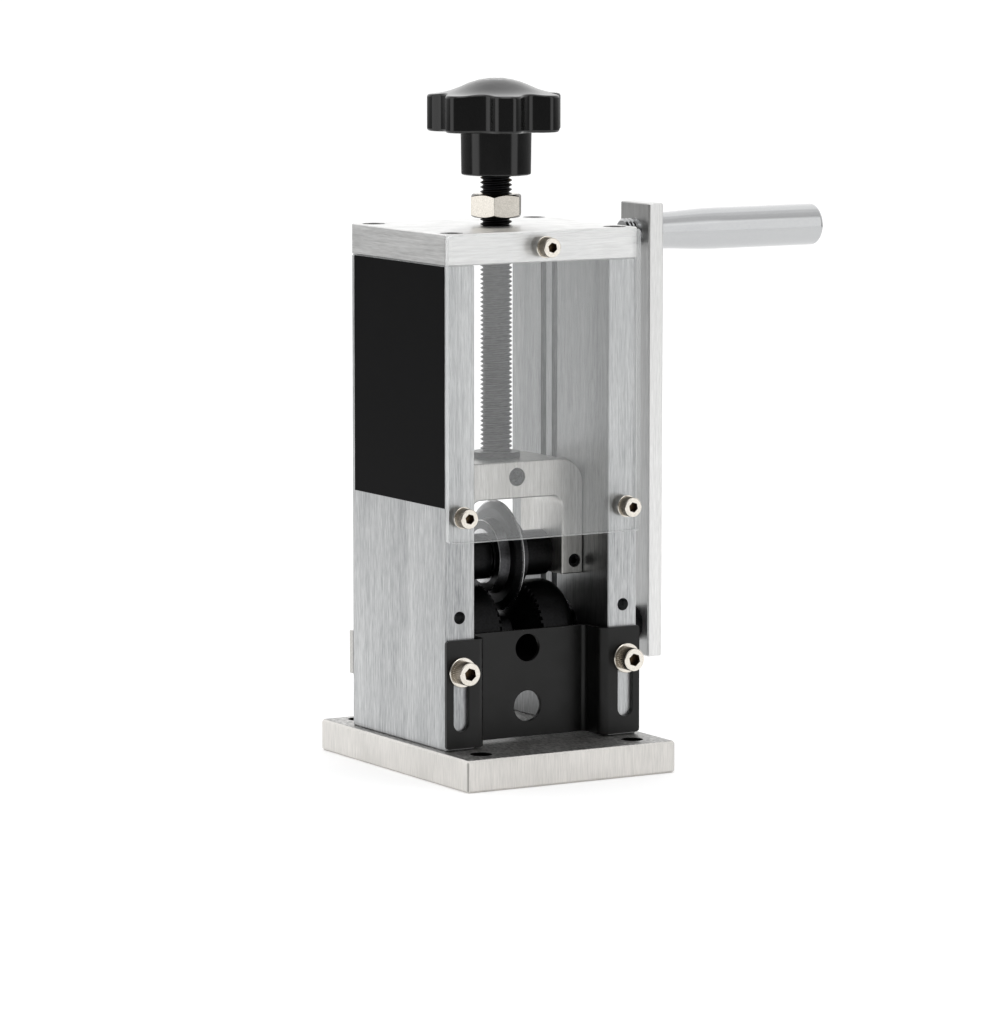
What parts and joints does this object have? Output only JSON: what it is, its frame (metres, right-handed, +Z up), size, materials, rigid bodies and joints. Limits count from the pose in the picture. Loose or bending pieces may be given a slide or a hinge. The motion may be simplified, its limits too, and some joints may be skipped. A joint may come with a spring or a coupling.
{
  "type": "hand crank wire stripper",
  "caption": "Bench wire stripper: a round blade in a sliding yoke, pressed by a star-knob screw onto a grooved roller turned by a hand crank, in a plate frame with a clear shield.",
  "frame": {"origin": "centre of the base plate's bottom face", "axes": "+X to the crank's side, +Y to the back (the wire leaves that way), +Z up along the pressure screw"},
  "size_m": [0.2175, 0.13, 0.3],
  "materials": {
    "base_aluminium": "satin, fine milled grain",
    "brushed_aluminium": "brushed",
    "bright_aluminium": "fine brushed, bright",
    "bright_screws": "nickel plated",
    "clear_acrylic": "clear cast sheet",
    "black_film": "satin film",
    "black_sheet": "semi-gloss black",
    "black_oxide_steel": "black oxide",
    "bearing_steel": "ground",
    "polished_steel": "turned and polished",
    "blade_steel": "ground tool steel",
    "black_knob_plastic": "moulded, glossy",
    "insert_brass": "turned"
  },
  "bodies": {
    "frame": {"base_plate": "base_aluminium", "left_side_plate": "brushed_aluminium", "right_side_plate": "brushed_aluminium", "top_plate": "brushed_aluminium", "base_screws": "bright_screws", "top_screws": "bright_screws", "safety_shield": "clear_acrylic", "shield_screws": "bright_screws", "shield_spacers": "bright_screws", "side_label": "black_film", "guide_screws": "bright_screws", "guide_washers": "bright_screws", "rear_wire_rest": "brushed_aluminium", "rear_rest_screws": "bright_screws", "shaft_bearing_outer_rings": "bearing_steel"},
    "guide": {"wire_guide": "black_sheet"},
    "crank": {"drive_shaft": "black_oxide_steel", "feed_roller": "black_oxide_steel", "roller_set_screws": "black_oxide_steel", "shaft_spacers": "black_oxide_steel", "shaft_bearing_inner_rings": "bearing_steel", "shaft_bearing_balls": "bearing_steel", "crank_arm": "bright_aluminium", "arm_set_screw": "black_oxide_steel", "handle_spindle": "polished_steel"},
    "handle": {"handle_grip": "polished_steel"},
    "yoke_slide": {"yoke": "brushed_aluminium", "yoke_set_screw": "black_oxide_steel", "leg_set_screws": "black_oxide_steel", "blade_axle": "black_oxide_steel", "blade_spacers": "black_oxide_steel", "blade_bearing_inner_rings": "bearing_steel"},
    "blade": {"stripping_blade": "blade_steel", "blade_bearing_outer_rings": "bearing_steel", "blade_bearing_balls": "bearing_steel"},
    "screw": {"pressure_screw": "black_oxide_steel", "star_knob": "black_knob_plastic", "knob_insert": "insert_brass"},
    "nut": {"lock_nut": "bright_screws"}
  },
  "joints": [
    {"name": "guide_height", "type": "slide", "parent": "frame", "child": "guide", "axis": [0, 0, 1], "range_m": [-0.0009, 0.0225]},
    {"name": "crank_spin", "type": "hinge", "parent": "frame", "child": "crank", "pos_m": [0, 0, 0.0565], "axis": [1, 0, 0], "continuous": true},
    {"name": "handle_spin", "type": "hinge", "parent": "crank", "child": "handle", "pos_m": [0.12, 0, 0.2307], "axis": [1, 0, 0], "continuous": true},
    {"name": "blade_height", "type": "slide", "parent": "frame", "child": "yoke_slide", "axis": [0, 0, 1], "range_m": [-0.0009, 0.03]},
    {"name": "blade_spin", "type": "hinge", "parent": "yoke_slide", "child": "blade", "pos_m": [0, 0, 0.0915], "axis": [1, 0, 0], "continuous": true},
    {"name": "knob_turn", "type": "hinge", "parent": "yoke_slide", "child": "screw", "pos_m": [0, 0, 0.1376], "axis": [0, 0, 1], "range_deg": [-163, 5401]},
    {"name": "nut_height", "type": "slide", "parent": "screw", "child": "nut", "axis": [0, 0, 1], "range_m": [-0.0025, 0.0078]}
  ],
  "couplings": [
    {"joint": "knob_turn", "follows": "blade_height", "rad_per_m": 3141.6}
  ]
}
